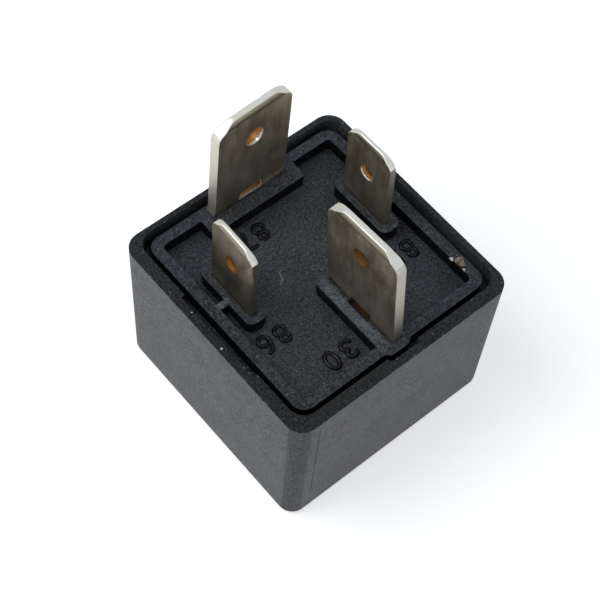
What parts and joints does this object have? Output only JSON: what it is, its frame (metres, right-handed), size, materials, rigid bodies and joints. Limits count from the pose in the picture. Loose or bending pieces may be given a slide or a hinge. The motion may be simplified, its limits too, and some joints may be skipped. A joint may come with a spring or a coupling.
{
  "type": "automotive relay",
  "caption": "Plug-in automotive relay: square black cover, recessed base with numbered blade terminals, coil, yoke and hinged armature inside.",
  "frame": {"origin": "centre of the cover's closed end, on its outer face", "axes": "+Z from the closed end to the blade terminals, +Y from blade 30 to blade 87, +X from blade 86 to blade 85"},
  "size_m": [0.028, 0.028, 0.033],
  "materials": {
    "cover_plastic": "fine speckled matt, glass-filled",
    "base_plastic": "fine speckled matt, glass-filled",
    "tinned_brass": "tin-plated, bare brass where punched",
    "bobbin_plastic": "natural, matt",
    "enamelled_copper": "enamelled wire",
    "soft_iron": "nickel-plated iron",
    "rivet_steel": "bright",
    "spring_bronze": "rolled bronze",
    "contact_silver": "silver alloy",
    "bare_copper": "braided copper"
  },
  "bodies": {
    "housing": {"cover": "cover_plastic", "base_plate": "base_plastic", "terminal_30": "tinned_brass", "terminal_87": "tinned_brass", "terminal_85": "tinned_brass", "terminal_86": "tinned_brass", "coil_bobbin": "bobbin_plastic", "coil_winding": "enamelled_copper", "core": "soft_iron", "yoke": "soft_iron", "fixed_contact": "contact_silver", "back_stop": "soft_iron", "hinge_spring": "spring_bronze", "yoke_rivets": "rivet_steel", "flex_braid": "bare_copper"},
    "armature_set": {"armature": "soft_iron", "contact_leaf": "spring_bronze", "moving_contact": "contact_silver", "armature_rivets": "rivet_steel"}
  },
  "joints": [
    {"name": "armature_hinge", "type": "hinge", "parent": "housing", "child": "armature_set", "pos_m": [0.0004, -0.0102, 0.0046], "axis": [1, 0, 0], "range_deg": [0, 2.5], "stiffness_Nm_per_rad": 0.1, "springref_deg": -5.73, "deforming": ["flex_braid"]}
  ]
}
